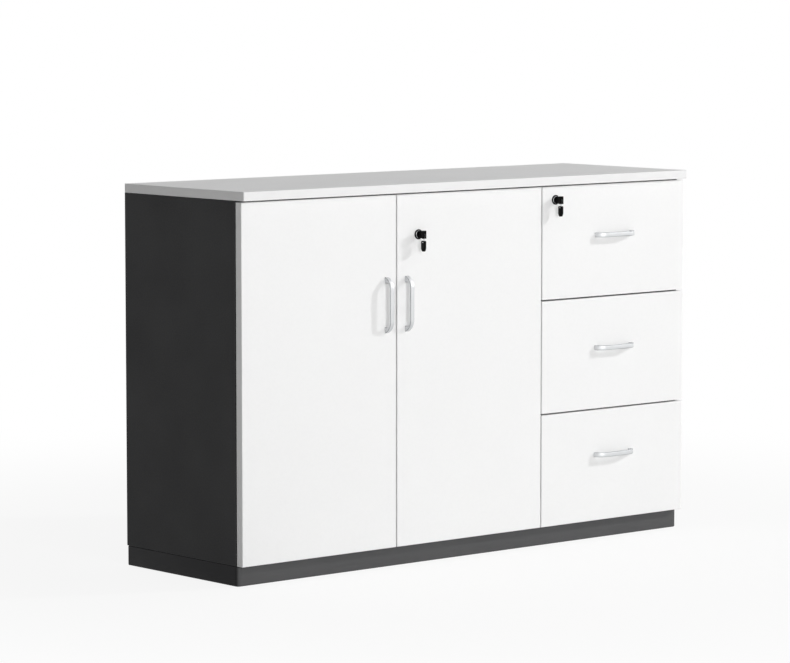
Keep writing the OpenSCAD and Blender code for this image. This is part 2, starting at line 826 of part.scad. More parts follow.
module hinge_screw_set(seat) {
    for (s = [-1, 1]) {
        x_rod(seat - wood_hole, plate_screw_y, s * plate_screw_z, plate_screw[0] / 2,
              wood_hole + plate_t);
        x_rod(seat + plate_t, plate_screw_y, s * plate_screw_z, plate_screw[1] / 2, plate_screw[2]);
    }
    x_rod(seat + 4, clamp_y, 0, clamp_r, arm_depth - 1);
    x_rod(seat + arm_back + fit, clamp_y, 0, clamp_head[0], clamp_head[1]);
}

// Doors

module door_blank(x) {
    edged_board([x[0], front_y, front_z0], [x[1], door_back_y, front_z1]);
}

module handle_holes(list) {
    for (p = list) y_rod(p[0], front_y - 1, p[1], handle_screw[0] / 2 + screw_fit, door_t + 2);
}

module left_door_panel() {
    color(white) difference() {
        door_blank(left_door_x);
        at_hinges(false) cup_holes();
        handle_holes(handle_screw_at(left_handle_x, door_handle_z, true));
    }
}

module right_door_panel() {
    color(white) difference() {
        door_blank(right_door_x);
        at_hinges(true) cup_holes();
        handle_holes(handle_screw_at(right_handle_x, door_handle_z, true));
        y_rod(door_lock[0], front_y - 1, door_lock[1], lock_body_d / 2 + fit, door_t + 2);
    }
}

module door_screws(right) {
    x = right ? right_handle_x : left_handle_x;
    color(zinc) {
        for (p = handle_screw_at(x, door_handle_z, true))
            front_screw(p[0], door_back_y, p[1], handle_screw, door_t + handle_hole_depth - 1);
        at_hinges(right) for (s = [-1, 1])
            front_screw(cup_screw_x, cup_flange_t - door_gap, s * cup_screw_z, cup_screw, 10);
    }
}

// Soft buffers on a front at x, near its lower and upper edge
module buffers(xs, z0, z1) {
    color(clear_grey) for (x = xs, z = [z0 + buffer_end, z1 - buffer_end])
        y_rod(x, door_back_y, z, buffer_r, door_gap - fit);
}

module hinge_cups(right) {
    color(steel) at_hinges(right) hinge_cup();
}

module hinge_links(right) {
    color(zinc) at_hinges(right) hinge_link();
}

module hinge_inner_links(right) {
    color(zinc) at_hinges(right) hinge_inner_link();
}

// Locks, each drawn at its axis [x, z]

module lock_body(p) {
    color(black) difference() {
        union() {
            y_rod(p[0], front_y - lock_ring_t, p[1], lock_ring_d / 2, lock_ring_t);
            y_rod(p[0], front_y - eps, p[1], lock_body_d / 2, lock_l);
            translate([p[0], door_back_y + nut[1], p[1]]) rotate([90, 0, 0])
                cylinder(d = nut[0], h = nut[1], $fn = 6);
        }
        y_rod(p[0], front_y - 5, p[1], lock_core_d / 2, lock_l + 10);
    }
}

module lock_core(p) {
    color(black) difference() {
        union() {
            y_rod(p[0], front_y - lock_ring_t - 0.3, p[1], lock_core_d / 2 - screw_fit,
                  lock_l + lock_ring_t + 0.5);
            translate([p[0] - square_half, lock_end_y - 1, p[1] - square_half])
                cube([2 * square_half, cam_t + 2.6, 2 * square_half]);
            key_block(p, key_neck_h, key_neck_l, lock_ring_t + 0.2);
            key_block(p, key_head_h, key_reach, key_neck_l - eps);
        }
        key_slot(p);
    }
    color(steel) x_rod(p[0] - bow_slot, bow_axis_y, p[1], 1, 2 * bow_slot);
}

// Flat block of a key, from y0 to y1 in front of the door
module key_block(p, h, y0, y1) {
    translate([p[0] - key_head_t / 2, front_y - y0, p[1] - h / 2]) rotate([90, 0, 90])
        linear_extrude(key_head_t) round_rect(y0 - y1, h, 1);
}

// Slot in the head of the key, open downwards and to the front
module key_slot(p) {
    translate([p[0] - bow_slot / 2, front_y - key_reach - 1, p[1] - key_head_h])
        cube([bow_slot, 8.6, key_head_h + 3.2]);
}

// Square hole of a cam round the core's end
module cam_hole(p) {
    half = square_half + screw_fit;
    translate([p[0] - half, cam_y - 1, p[1] - half]) cube([2 * half, cam_t + 2, 2 * half]);
}

module door_lock_cam() {
    tip_z = door_lock[1] - cam_reach + door_cam_half;
    color(steel) difference() {
        union() {
            y_rod(door_lock[0], cam_y, door_lock[1], cam_hub_r, cam_t);
            translate([door_lock[0] - door_cam_half, cam_y, tip_z])
                cube([2 * door_cam_half, cam_t, door_lock[1] - tip_z]);
            y_rod(door_lock[0], cam_y, tip_z, door_cam_half, cam_t);
        }
        cam_hole(door_lock);
    }
}

// Arm that points down to the left and carries the pin for the bar
module drawer_lock_cam() {
    color(steel) difference() {
        translate([drawer_lock[0], cam_y, drawer_lock[1]]) rotate([-90, 0, 0]) union() {
            cylinder(r = cam_hub_r, h = cam_t);
            rotate([0, 0, 135]) translate([0, -bar_cam_half, 0]) cube([bar_arm, 2 * bar_cam_half, cam_t]);
            rotate([0, 0, 135]) translate([bar_arm, 0, 0]) {
                cylinder(r = bar_cam_half, h = cam_t);
                cylinder(r = bar_pin_r, h = bar_y1 - cam_y);
            }
        }
        cam_hole(drawer_lock);
    }
}

// Folding part of the key: metal tongue with a grip, hanging from the axis
module key_bow(p) {
    low = -bow_start - bow_l;
    color(steel) translate([p[0], bow_axis_y, p[1]]) difference() {
        union() {
            x_rod(-bow_tongue_t / 2, 0, 0, 2.8, bow_tongue_t);
            translate([-bow_tongue_t / 2, -2.4, -bow_start - 4]) cube([bow_tongue_t, 4.8, bow_start + 4]);
        }
        x_rod(-5, 0, 0, 1 + screw_fit, 10);
    }
    color(black) translate([p[0] - bow_t / 2, bow_tip_y, p[1]]) rotate([90, 0, 90])
        linear_extrude(bow_t) difference() {
            union() {
                polygon([[0, -bow_start - 1.6], [bow_w, -bow_start - 1.6], [bow_w, low + 5],
                         [bow_w - 2.6, low], [2.6, low], [0, low + 5]]);
                translate([0, -bow_start - 3.2]) round_rect(bow_w, 3.2, 1.5);
            }
            translate([bow_w / 2, low + 5]) circle(1.6);
        }
}

// Angle on the partition that the door lock's cam catches behind
module strike_screws(grow, l) {
    for (s = [-1, 1]) {
        z = door_lock[1] + s * strike_screw_z;
        y = strike_y + strike_screw_y;
        x_rod(part_a1 + strike_t + eps, y, z, cup_screw[0] / 2 + grow, l, -1);
        x_rod(part_a1 + strike_t, y, z, cup_screw[1] / 2, cup_screw[2]);
    }
}

module door_lock_strike() {
    color(zinc) difference() {
        union() {
            translate([part_a1, strike_y, door_lock[1] - strike_h / 2])
                cube([strike_t, strike_l, strike_h]);
            translate([part_a1, strike_y, door_lock[1] - strike_lip[0] / 2])
                cube([strike_flange, strike_lip[1], strike_lip[0]]);
        }
        for (s = [-1, 1])
            x_rod(part_a1 - 1, strike_y + strike_screw_y, door_lock[1] + s * strike_screw_z,
                  cup_screw[0] / 2 + screw_fit, strike_t + 2);
    }
}

// Bar that locks the drawers

fork_half = bar_slot / 2 + fork_wall;

module lock_bar() {
    x0 = part_b1 + bar_gap;
    low_z = drawer_z(drawer_count) + stud_rise - bar_lift - bar_tail;
    color(zinc) plain_board([x0, bar_y0, low_z], [x0 + bar_t, bar_y1, bar_pin_z + fork_half]);
}

// Blocks welded on the bar: one under each drawer's stud, and two jaws for the cam's pin
module lock_bar_lugs() {
    x0 = part_b1 + bar_gap + bar_t;
    color(zinc) {
        for (n = [1 : drawer_count]) {
            z = drawer_z(n) + stud_rise - bar_lift - lug_h / 2;
            plain_board([x0, bar_y0, z], [part_b1 + lug_reach, bar_y1, z + lug_h]);
        }
        for (s = [-1, 1]) {
            z = bar_pin_z + s * (bar_slot + fork_wall) / 2;
            plain_board([x0, bar_y0, z - fork_wall / 2], [part_b1 + fork_reach, bar_y1, z + fork_wall / 2]);
        }
    }
}

module lock_bar_guides() {
    color(black) for (n = [1 : drawer_count])
        translate([part_b1, bar_y0, drawer_z(n) + guide_rise - guide_h / 2]) difference() {
            translate([0, -guide_wall, 0]) cube([guide_reach, bar_w + 2 * guide_wall, guide_h]);
            translate([-1, -guide_fit, -1])
                cube([1 + bar_gap + bar_t + guide_fit, bar_w + 2 * guide_fit, guide_h + 2]);
        }
}

// Telescopic slides, drawn for the left side of a drawer with x = 0 on the cabinet

module slide_channel(x0, x1, half, open_right) {
    web = open_right ? x0 : x1 - slide_sheet;
    translate([web, 0, -half]) cube([slide_sheet, slide_l, 2 * half]);
    for (s = [-1, 1]) translate([x0, 0, s > 0 ? half - slide_sheet : -half])
        cube([x1 - x0, slide_l, slide_sheet]);
}

// Puts a slide shape at both sides of drawer n
module at_slides(n) {
    translate([part_b1, slide_y0, slide_z(n)]) children();
    translate([inner_right, slide_y0, slide_z(n)]) mirror([1, 0, 0]) children();
}

module slide_cabinet_members() {
    color(zinc) for (n = [1 : drawer_count]) at_slides(n) difference() {
        slide_channel(0, 8.6, slide_z_off[0], true);
        for (y = slide_screw_y) x_rod(-1, y - slide_y0, 0, slide_screw[0] / 2 + screw_fit, 4);
    }
}

module slide_screws() {
    for (n = [1 : drawer_count]) at_slides(n) for (y = slide_screw_y) {
        x_rod(-wood_hole, y - slide_y0, 0, slide_screw[0] / 2, wood_hole + slide_sheet);
        x_rod(slide_sheet, y - slide_y0, 0, slide_screw[1] / 2, slide_screw[2]);
    }
}

// Middle member with its four ball retainers
module slide_middle() {
    slide_channel(middle_x, runner_x - 0.2, slide_z_off[1], true);
    for (m = [0, 1]) mirror([0, 0, m]) {
        translate([middle_x + 2, ball_inset, slide_z_off[1]])
            cube([3, slide_l - ball_travel, slide_z_off[0] - slide_sheet - slide_z_off[1] - 0.15]);
        translate([middle_x + 4.5, ball_travel - ball_inset - 10, slide_z_off[2] + 0.15])
            cube([3, slide_l - ball_travel, slide_z_off[1] - slide_sheet - slide_z_off[2] - 0.15]);
    }
}

module drawer_slide_middles(n) {
    color(steel) at_slides(n) slide_middle();
}

// Both runners, and the stud on the drawer's side that the lock bar's lug stands in front of
module drawer_side_fittings(n) {
    color(zinc) {
        at_slides(n) slide_channel(middle_x + 3.6, slide_space, slide_z_off[2], false);
        x_rod(box_x[0], stud_y, drawer_z(n) + stud_rise, stud_d / 2, stud_l, -1);
    }
}

// Drawers, numbered from the top

module drawer_front(n) {
    z = drawer_z(n);
    color(white) difference() {
        edged_board([drawer_x[0], front_y, z], [drawer_x[1], door_back_y, z + drawer_h]);
        handle_holes(handle_screw_at(drawer_mid_x, drawer_handle_z(n), false));
        for (x = box_screw_x, dz = box_screw_z)
            y_rod(x, door_back_y - 12, box_z(n) + dz, cup_screw[0] / 2 + screw_fit, 13);
        if (n == 1) y_rod(drawer_lock[0], front_y - 1, drawer_lock[1], lock_body_d / 2 + fit, door_t + 2);
    }
}

module drawer_box(n) {
    lo = [box_x[0], door_back_y, box_z(n)];
    hi = [box_x[1], box_y1, box_z(n) + box_h];
    w = [box_wall, box_wall, box_wall];
    rim = [box_rim, box_rim, 0];
    color(zinc) difference() {
        plain_board(lo, hi);
        plain_board(lo + w, hi - w);
        plain_board([lo[0] + box_rim, lo[1] + box_rim, hi[2] - 5], hi - rim + [0, 0, 5]);
        for (p = handle_screw_at(drawer_mid_x, drawer_handle_z(n), false))
            y_rod(p[0], door_back_y - 1, p[1], handle_screw[0] / 2 + screw_fit, box_wall + 2);
        for (x = box_screw_x, dz = box_screw_z)
            y_rod(x, door_back_y - 1, box_z(n) + dz, cup_screw[0] / 2 + screw_fit, box_wall + 2);
    }
}

module drawer_handle(n) {
    handle_at(drawer_mid_x, drawer_handle_z(n), false);
}

module drawer_screws(n) {
    y = door_back_y + box_wall;
    color(zinc) {
        for (p = handle_screw_at(drawer_mid_x, drawer_handle_z(n), false))
            front_screw(p[0], y, p[1], handle_screw, door_t + box_wall + handle_hole_depth - 1);
        for (x = box_screw_x, dz = box_screw_z)
            front_screw(x, y, box_z(n) + dz, cup_screw, 12);
    }
}

top_panel();
left_side_panel();
right_side_panel();
door_partition();
drawer_partition();
bottom_panel();
back_panel();
shelves();
shelf_pins();
base_frame();
carcass_screws();
levelling_feet();
hinge_plates();
hinge_arms();
fitting_screws();
slide_cabinet_members();
door_lock_strike();
lock_bar_guides();
left_door_panel();
handle_at(left_handle_x, door_handle_z, true);  // left_door_handle
door_screws(false);  // left_door_screws
buffers([left_door_x[1] - 4], front_z0, front_z1);  // left_door_buffers
hinge_cups(false);  // left_hinge_cups
hinge_links(false);  // left_hinge_links
hinge_inner_links(false);  // left_hinge_inner_links
right_door_panel();
handle_at(right_handle_x, door_handle_z, true);  // right_door_handle
door_screws(true);  // right_door_screws
buffers([right_door_x[0] + 3.6], front_z0, front_z1);  // right_door_buffers
hinge_cups(true);  // right_hinge_cups
hinge_links(true);  // right_hinge_links
hinge_inner_links(true);  // right_hinge_inner_links
lock_body(door_lock);  // door_lock_body
lock_core(door_lock);  // door_lock_core
door_lock_cam();
key_bow(door_lock);  // door_key_bow
lock_body(drawer_lock);  // drawer_lock_body
lock_core(drawer_lock);  // drawer_lock_core
drawer_lock_cam();
key_bow(drawer_lock);  // drawer_key_bow
lock_bar();
lock_bar_lugs();
drawer_front(1);  // drawer_1_front
drawer_box(1);  // drawer_1_box
drawer_handle(1);  // drawer_1_handle
drawer_screws(1);  // drawer_1_screws
drawer_side_fittings(1);  // drawer_1_side_fittings
drawer_slide_middles(1);  // drawer_1_slide_middles
drawer_front(2);  // drawer_2_front
drawer_box(2);  // drawer_2_box
drawer_handle(2);  // drawer_2_handle
drawer_screws(2);  // drawer_2_screws
drawer_side_fittings(2);  // drawer_2_side_fittings
drawer_slide_middles(2);  // drawer_2_slide_middles
drawer_front(3);  // drawer_3_front
drawer_box(3);  // drawer_3_box
drawer_handle(3);  // drawer_3_handle
drawer_screws(3);  // drawer_3_screws
drawer_side_fittings(3);  // drawer_3_side_fittings
drawer_slide_middles(3);  // drawer_3_slide_middles
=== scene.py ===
import math
import bmesh
import bpy
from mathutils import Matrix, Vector


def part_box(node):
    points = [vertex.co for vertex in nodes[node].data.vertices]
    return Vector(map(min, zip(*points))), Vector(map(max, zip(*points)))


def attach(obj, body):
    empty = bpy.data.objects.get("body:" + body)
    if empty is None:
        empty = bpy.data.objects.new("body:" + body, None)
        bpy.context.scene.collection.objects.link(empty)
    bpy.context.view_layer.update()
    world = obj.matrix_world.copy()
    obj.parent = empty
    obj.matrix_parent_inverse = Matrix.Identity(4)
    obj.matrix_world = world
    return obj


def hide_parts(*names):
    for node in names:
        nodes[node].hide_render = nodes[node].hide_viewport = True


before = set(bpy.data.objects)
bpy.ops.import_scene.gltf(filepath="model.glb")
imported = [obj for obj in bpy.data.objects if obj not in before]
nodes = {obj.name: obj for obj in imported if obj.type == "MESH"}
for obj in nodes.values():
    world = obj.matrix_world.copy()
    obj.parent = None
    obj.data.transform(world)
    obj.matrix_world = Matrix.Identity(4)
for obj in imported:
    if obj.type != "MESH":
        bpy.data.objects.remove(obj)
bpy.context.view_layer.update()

# Office side cabinet: two hinged doors and three drawers, white on charcoal.
# Metres, Z up, the fronts look along -Y.

scene = bpy.context.scene
scene.view_settings.view_transform = "Standard"


# Colours and nodes

def hexColour(code):
    channels = [int(code[i:i + 2], 16) / 255 for i in (1, 3, 5)]
    linear = [c / 12.92 if c <= 0.04045 else ((c + 0.055) / 1.055) ** 2.4 for c in channels]
    return (*linear, 1.0)


def addNode(tree, kind, settings=None, inputs=None):
    node = tree.nodes.new(kind)
    for name, value in (settings or {}).items():
        setattr(node, name, value)
    for name, value in (inputs or {}).items():
        if isinstance(value, bpy.types.NodeSocket):
            tree.links.new(value, node.inputs[name])
        else:
            node.inputs[name].default_value = value
    return node


def startMaterial(name, fixed):
    material = bpy.data.materials.new(name)
    material.use_nodes = True
    tree = material.node_tree
    tree.nodes.clear()
    surface = addNode(tree, "ShaderNodeBsdfPrincipled", inputs=fixed)
    addNode(tree, "ShaderNodeOutputMaterial", inputs={"Surface": surface.outputs["BSDF"]})
    coords = addNode(tree, "ShaderNodeTexCoord")
    return material, tree, surface, coords


def perMetre(millimetres):
    return 1000.0 / millimetres


def noise(tree, coords, millimetres, detail):
    return addNode(tree, "ShaderNodeTexNoise", inputs={
        "Vector": coords.outputs["Object"], "Scale": perMetre(millimetres),
        "Detail": detail}).outputs["Fac"]


def mixColours(tree, share, first, second):
    return addNode(tree, "ShaderNodeMix", {"data_type": "RGBA"}, {
        0: share, 6: first, 7: second}).outputs[2]


def mixValues(tree, share, first, second):
    return addNode(tree, "ShaderNodeMix", {"data_type": "FLOAT"}, {
        0: share, 2: first, 3: second}).outputs[0]


def calculate(tree, operation, first, second=None):
    given = {0: first} if second is None else {0: first, 1: second}
    return addNode(tree, "ShaderNodeMath", {"operation": operation}, given).outputs[0]


def remap(tree, value, source, target, smooth=False):
    settings = {"interpolation_type": "SMOOTHSTEP"} if smooth else None
    return addNode(tree, "ShaderNodeMapRange", settings, {
        "Value": value, 1: source[0], 2: source[1], 3: target[0], 4: target[1]}).outputs["Result"]


def facingAlong(tree, coords, axis):
    # 1 where the surface looks along the axis, either way, and 0 where it runs along it
    normal = addNode(tree, "ShaderNodeSeparateXYZ", inputs={"Vector": coords.outputs["Normal"]})
    return calculate(tree, "ABSOLUTE", normal.outputs[axis])


def unevenSheen(tree, fac, roughness, glossier, duller):
    # Noise hardly leaves this span
    return remap(tree, fac, (0.3, 0.7), (roughness - glossier, roughness + duller))


def feedSurface(tree, surface, colour, sheen):
    tree.links.new(colour, surface.inputs["Base Color"])
    tree.links.new(sheen, surface.inputs["Roughness"])


def addBump(tree, surface, height, strength, distance):
    bump = addNode(tree, "ShaderNodeBump", inputs={
        "Height": height, "Strength": strength, "Distance": distance})
    tree.links.new(bump.outputs["Normal"], surface.inputs["Normal"])


# Finishes

def melamineBoard(name, look):
    # Paper film pressed on chipboard: satin, clouded, with flecks and a fine pearl grain. The edges
    # are 1 mm ABS band, a little glossier than the face.
    material, tree, surface, coords = startMaterial(name, {
        "Specular IOR Level": look["specular"], "IOR": 1.5})
    cloud = noise(tree, coords, look["cloudMm"], 3.0)
    face = mixColours(tree, cloud, hexColour(look["face"]), hexColour(look["faceShade"]))
    fleck = remap(tree, noise(tree, coords, look["fleckMm"], 1.0), look["fleckSpan"],
                  (0.0, look["fleckAmount"]))
    flecked = mixColours(tree, fleck, face, hexColour(look["fleck"]))
    band = remap(tree, facingAlong(tree, coords, look["faceAxis"]), look["bandSpan"], (1.0, 0.0))
    sheen = unevenSheen(tree, cloud, look["roughness"], glossier=0.04, duller=0.05)
    feedSurface(tree, surface, mixColours(tree, band, flecked, hexColour(look["band"])),
                mixValues(tree, band, sheen, look["bandRoughness"]))
    # The real grain is 0.4 mm. It is drawn coarser so that it shows at all.
    addBump(tree, surface, noise(tree, coords, look["grainMm"], 2.0),
            strength=look["grainStrength"], distance=0.00008)
    return material


whiteBoard = {
    "face": "#F6F6F6", "faceShade": "#F3F3F3", "cloudMm": 160.0,
    "fleck": "#E8E8E8", "fleckMm": 5.0, "fleckAmount": 0.12, "fleckSpan": (0.35, 0.75),
    "band": "#EFEFEF", "bandSpan": (0.93, 0.99), "roughness": 0.42, "bandRoughness": 0.34,
    "grainMm": 1.1, "grainStrength": 0.25, "specular": 0.4}
charcoalBoard = {
    "face": "#2F2F30", "faceShade": "#2A2A2B", "cloudMm": 120.0,
    "fleck": "#39393A", "fleckMm": 3.0, "fleckAmount": 0.5, "fleckSpan": (0.35, 0.75),
    "band": "#333334", "bandSpan": (0.93, 0.99), "roughness": 0.55, "bandRoughness": 0.42,
    "grainMm": 1.4, "grainStrength": 0.5, "specular": 0.14}


def powderCoat(name, look):
    # Polyester powder baked on steel: fine orange peel, scuffed lighter near the floor. Faces that
    # do not look along Y get a darker side colour: painted shade for the sides that face away from
    # the lamps.
    material, tree, surface, coords = startMaterial(name, {
        "Specular IOR Level": look["specular"], "IOR": 1.5})
    patch = noise(tree, coords, look["patchMm"], 4.0)
    paint = mixColours(tree, patch, hexColour(look["paint"]), hexColour(look["paintShade"]))
    # Painted shade: the side colour darkens the faces that turn away from Y
    paintedSideShade = remap(tree, facingAlong(tree, coords, "Y"), look["shadeTurnSpan"], (look["paintedShadeShare"], 0.0))
    shadedCoat = mixColours(tree, paintedSideShade, paint, hexColour(look["side"]))
    spot = addNode(tree, "ShaderNodeSeparateXYZ", inputs={"Vector": coords.outputs["Object"]})
    low = remap(tree, spot.outputs["Z"], look["scuffHeights"], (1.0, 0.0))
    stroke = addNode(tree, "ShaderNodeMapping", inputs={
        "Vector": coords.outputs["Object"], "Scale": look["scuffStretch"]})
    scratches = addNode(tree, "ShaderNodeTexNoise", inputs={
        "Vector": stroke.outputs[0], "Scale": 3.0, "Detail": 5.0, "Roughness": 0.7})
    scuffs = remap(tree, scratches.outputs["Fac"], look["scuffSpan"], (0.0, look["scuffAmount"]))
    scuffed = calculate(tree, "MULTIPLY", low, scuffs)
    feedSurface(tree, surface, mixColours(tree, scuffed, shadedCoat, hexColour(look["scuff"])),
                unevenSheen(tree, patch, look["roughness"], glossier=0.05, duller=0.05))
    addBump(tree, surface, noise(tree, coords, look["peelMm"], 1.0), strength=0.35, distance=0.0001)
    return material


def anodisedAluminium(name, look):
    # Die-cast handle, ground along its length and anodised: bright satin with fine strokes, and a
    # darker line along each arris, which is painted shade where the rounded edge turns from the
    # light
    material, tree, surface, coords = startMaterial(name, {"Metallic": look["metallic"]})
    stretched = addNode(tree, "ShaderNodeMapping", inputs={
        "Vector": coords.outputs["Object"], "Scale": look["strokeScale"]})
    strokes = addNode(tree, "ShaderNodeTexNoise", inputs={
        "Vector": stretched.outputs[0], "Scale": perMetre(look["strokeMm"]),
        "Detail": 3.0}).outputs["Fac"]
    ground = mixColours(tree, strokes, hexColour(look["bright"]), hexColour(look["dull"]))
    across = facingAlong(tree, coords, look["acrossAxis"])
    offTop = remap(tree, across, look["topSpan"], (0.0, 1.0), smooth=True)
    offSide = remap(tree, across, look["sideSpan"], (1.0, 0.0), smooth=True)
    # Painted shade: a dark line where the faces meet along each arris
    paintedArrisShade = calculate(tree, "MULTIPLY", offTop, offSide)
    feedSurface(tree, surface, mixColours(tree, paintedArrisShade, ground, hexColour(look["paintedArrisShade"])),
                unevenSheen(tree, strokes, look["roughness"], glossier=0.05, duller=0.07))
    addBump(tree, surface, strokes, strength=0.15, distance=0.00005)
    return material


# The arris colour is painted shade along the handle's edges
handleMetal = {
    "bright": "#DEDFE0", "dull": "#C6C8CA", "paintedArrisShade": "#84878A", "topSpan": (0.12, 0.45),
    "sideSpan": (0.88, 0.99), "strokeMm": 1.2, "roughness": 0.5, "metallic": 0.9}


def platedSteel(name, look):
    # Pressed steel with a zinc or nickel layer: cool, with soft spangle and darker pressing marks
    material, tree, surface, coords = startMaterial(name, {"Metallic": 1.0})
    spangle = addNode(tree, "ShaderNodeTexVoronoi", inputs={
        "Vector": coords.outputs["Object"], "Scale": perMetre(look["spangleMm"])})
    marks = noise(tree, coords, look["markMm"], 4.0)
    layer = mixValues(tree, 0.5, spangle.outputs["Distance"], marks)
    feedSurface(tree, surface,
                mixColours(tree, layer, hexColour(look["bright"]), hexColour(look["dull"])),
                unevenSheen(tree, marks, look["roughness"], glossier=0.06, duller=0.08))
    addBump(tree, surface, marks, strength=0.1, distance=0.0001)
    return material


def blackFinish(name, look):
    # Stoved lacquer on zinc, or moulded ABS: near black, worn paler in small spots
    material, tree, surface, coords = startMaterial(name, {
        "IOR": look["ior"], "Specular IOR Level": look["specular"]})
    spots = noise(tree, coords, look["spotMm"], 4.0)
    feedSurface(tree, surface,
                mixColours(tree, spots, hexColour(look["dark"]), hexColour(look["worn"])),
                unevenSheen(tree, spots, look["roughness"], glossier=0.06, duller=0.08))
    addBump(tree, surface, noise(tree, coords, look["grainMm"], 2.0), strength=0.3,
            distance=0.00005)
    return material


def siliconeBuffer(name, look):
    # Clear silicone dot: soft, slightly milky, catches dust
    material, tree, surface, coords = startMaterial(name, {
        "IOR": 1.41, "Transmission Weight": look["clearness"], "Roughness": look["roughness"]})
    colour = mixColours(tree, noise(tree, coords, look["dustMm"], 3.0), hexColour(look["clear"]),
                        hexColour(look["dusty"]))
    tree.links.new(colour, surface.inputs["Base Color"])
    return material


print("finishes")
finishes = {
    "whiteFront": melamineBoard("white melamine with ABS band, upright front", {
        **whiteBoard, "faceAxis": "Y"}),
    "whiteTop": melamineBoard("white melamine with ABS band, top board", {
        **whiteBoard, "faceAxis": "Z", "roughness": 0.68, "specular": 0.25}),
    "charcoalSide": melamineBoard("charcoal melamine with ABS band, upright side", {
        **charcoalBoard, "faceAxis": "X"}),
    "charcoalFlat": melamineBoard("charcoal melamine with ABS band, lying board", {
        **charcoalBoard, "faceAxis": "Z"}),
    "charcoalBack": melamineBoard("charcoal melamine, back panel", {
        **charcoalBoard, "faceAxis": "Y"}),
    # The base's side colour is painted shade, much darker than its paint
    "basePaint": powderCoat("charcoal powder coat on folded steel", {
        "paint": "#59595A", "paintShade": "#545455", "side": "#18181A", "paintedShadeShare": 1.0,
        "shadeTurnSpan": (0.35, 0.85), "scuff": "#6A6A6A", "scuffHeights": (0.002, 0.022),
        "scuffStretch": (12.0, 12.0, 160.0), "scuffSpan": (0.52, 0.72), "scuffAmount": 0.2,
        "patchMm": 60.0, "peelMm": 1.6, "roughness": 0.45, "specular": 0.14}),
    # The boxes never meet the floor, so their coat has no scuffs
    # The boxes' side colour is painted shade as well, a little darker than their paint
    "boxPaint": powderCoat("light grey powder coat on folded steel", {
        "paint": "#D9DADA", "paintShade": "#D0D1D1", "side": "#D4D5D5", "paintedShadeShare": 0.6,
        "shadeTurnSpan": (0.35, 0.85), "scuff": "#B9BABA", "scuffHeights": (-1.0, -0.9),
        "scuffStretch": (12.0, 12.0, 160.0), "scuffSpan": (0.52, 0.72), "scuffAmount": 0.0,
        "patchMm": 90.0, "peelMm": 1.4, "roughness": 0.45, "specular": 0.4}),
    "handleUpright": anodisedAluminium("satin anodised aluminium, upright strokes", {
        **handleMetal, "acrossAxis": "X", "strokeScale": (1.0, 1.0, 0.06)}),
    "handleLying": anodisedAluminium("satin anodised aluminium, lying strokes", {
        **handleMetal, "acrossAxis": "Z", "strokeScale": (0.06, 1.0, 1.0)}),
    "zinc": platedSteel("zinc plated steel", {
        "bright": "#D3D6D9", "dull": "#A9ADB1", "spangleMm": 4.0, "markMm": 14.0,
        "roughness": 0.34}),
    "nickel": platedSteel("nickel plated steel", {
        "bright": "#DAD6CF", "dull": "#B3AFA8", "spangleMm": 9.0, "markMm": 10.0,
        "roughness": 0.24}),
    "keySteel": platedSteel("nickel silver, milled key", {
        "bright": "#F0F1F2", "dull": "#DCDEE0", "spangleMm": 2.0, "markMm": 5.0,
        "roughness": 0.3}),
    "blackLacquer": blackFinish("black lacquered die-cast zinc", {
        "dark": "#030303", "worn": "#0A0A0B", "spotMm": 3.0, "grainMm": 0.8, "roughness": 0.26,
        "ior": 1.5, "specular": 0.07}),
    "blackAbs": blackFinish("black moulded ABS", {
        "dark": "#040404", "worn": "#0C0C0D", "spotMm": 5.0, "grainMm": 0.9, "roughness": 0.36,
        "ior": 1.54, "specular": 0.07}),
    "silicone": siliconeBuffer("milky silicone", {
        "clear": "#DCDDDD", "dusty": "#BDBEBD", "dustMm": 1.5, "clearness": 0.6,
        "roughness": 0.35}),
}

finishOfNode = {
    "top_panel": "whiteTop", "left_side_panel": "charcoalSide",
    "right_side_panel": "charcoalSide", "door_partition": "charcoalSide",
    "drawer_partition": "charcoalSide", "bottom_panel": "charcoalFlat",
    "shelves": "charcoalFlat", "back_panel": "charcoalBack", "shelf_pins": "nickel",
    "base_frame": "basePaint", "carcass_screws": "zinc", "levelling_feet": "blackAbs",
    "hinge_plates": "nickel", "hinge_arms": "nickel", "fitting_screws": "nickel",
    "slide_cabinet_members": "zinc", "lock_bar": "zinc", "lock_bar_lugs": "zinc",
    "lock_bar_guides": "blackAbs", "door_lock_strike": "zinc",
}
for side in ("left", "right"):
    finishOfNode.update({
        side + "_door_panel": "whiteFront", side + "_door_handle": "handleUpright",
        side + "_door_screws": "nickel", side + "_door_buffers": "silicone",
        side + "_hinge_cups": "nickel", side + "_hinge_links": "nickel",
        side + "_hinge_inner_links": "nickel"})
for lock in ("door", "drawer"):
    finishOfNode.update({
        lock + "_lock_body": "blackLacquer", lock + "_lock_core": "blackLacquer",
        lock + "_lock_cam": "zinc", lock + "_key_bow": "blackAbs"})
for number in (1, 2, 3):
    drawer = "drawer_%d_" % number
    finishOfNode.update({
        drawer + "front": "whiteFront", drawer + "box": "boxPaint",
        drawer + "handle": "handleLying", drawer + "screws": "nickel",
        drawer + "side_fittings": "zinc", drawer + "slide_middles": "zinc"})
for nodeName, cadObject in nodes.items():
    cadObject.data.materials.clear()
    cadObject.data.materials.append(finishes[finishOfNode[nodeName]])


# Pieces

def takeMesh(name, mesh, finish, body, replaced=()):
    piece = bpy.data.objects.new(name, mesh)
    scene.collection.objects.link(piece)
    mesh.materials.clear()
    mesh.materials.append(finishes[finish])
    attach(piece, body)
    if replaced:
        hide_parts(*replaced)


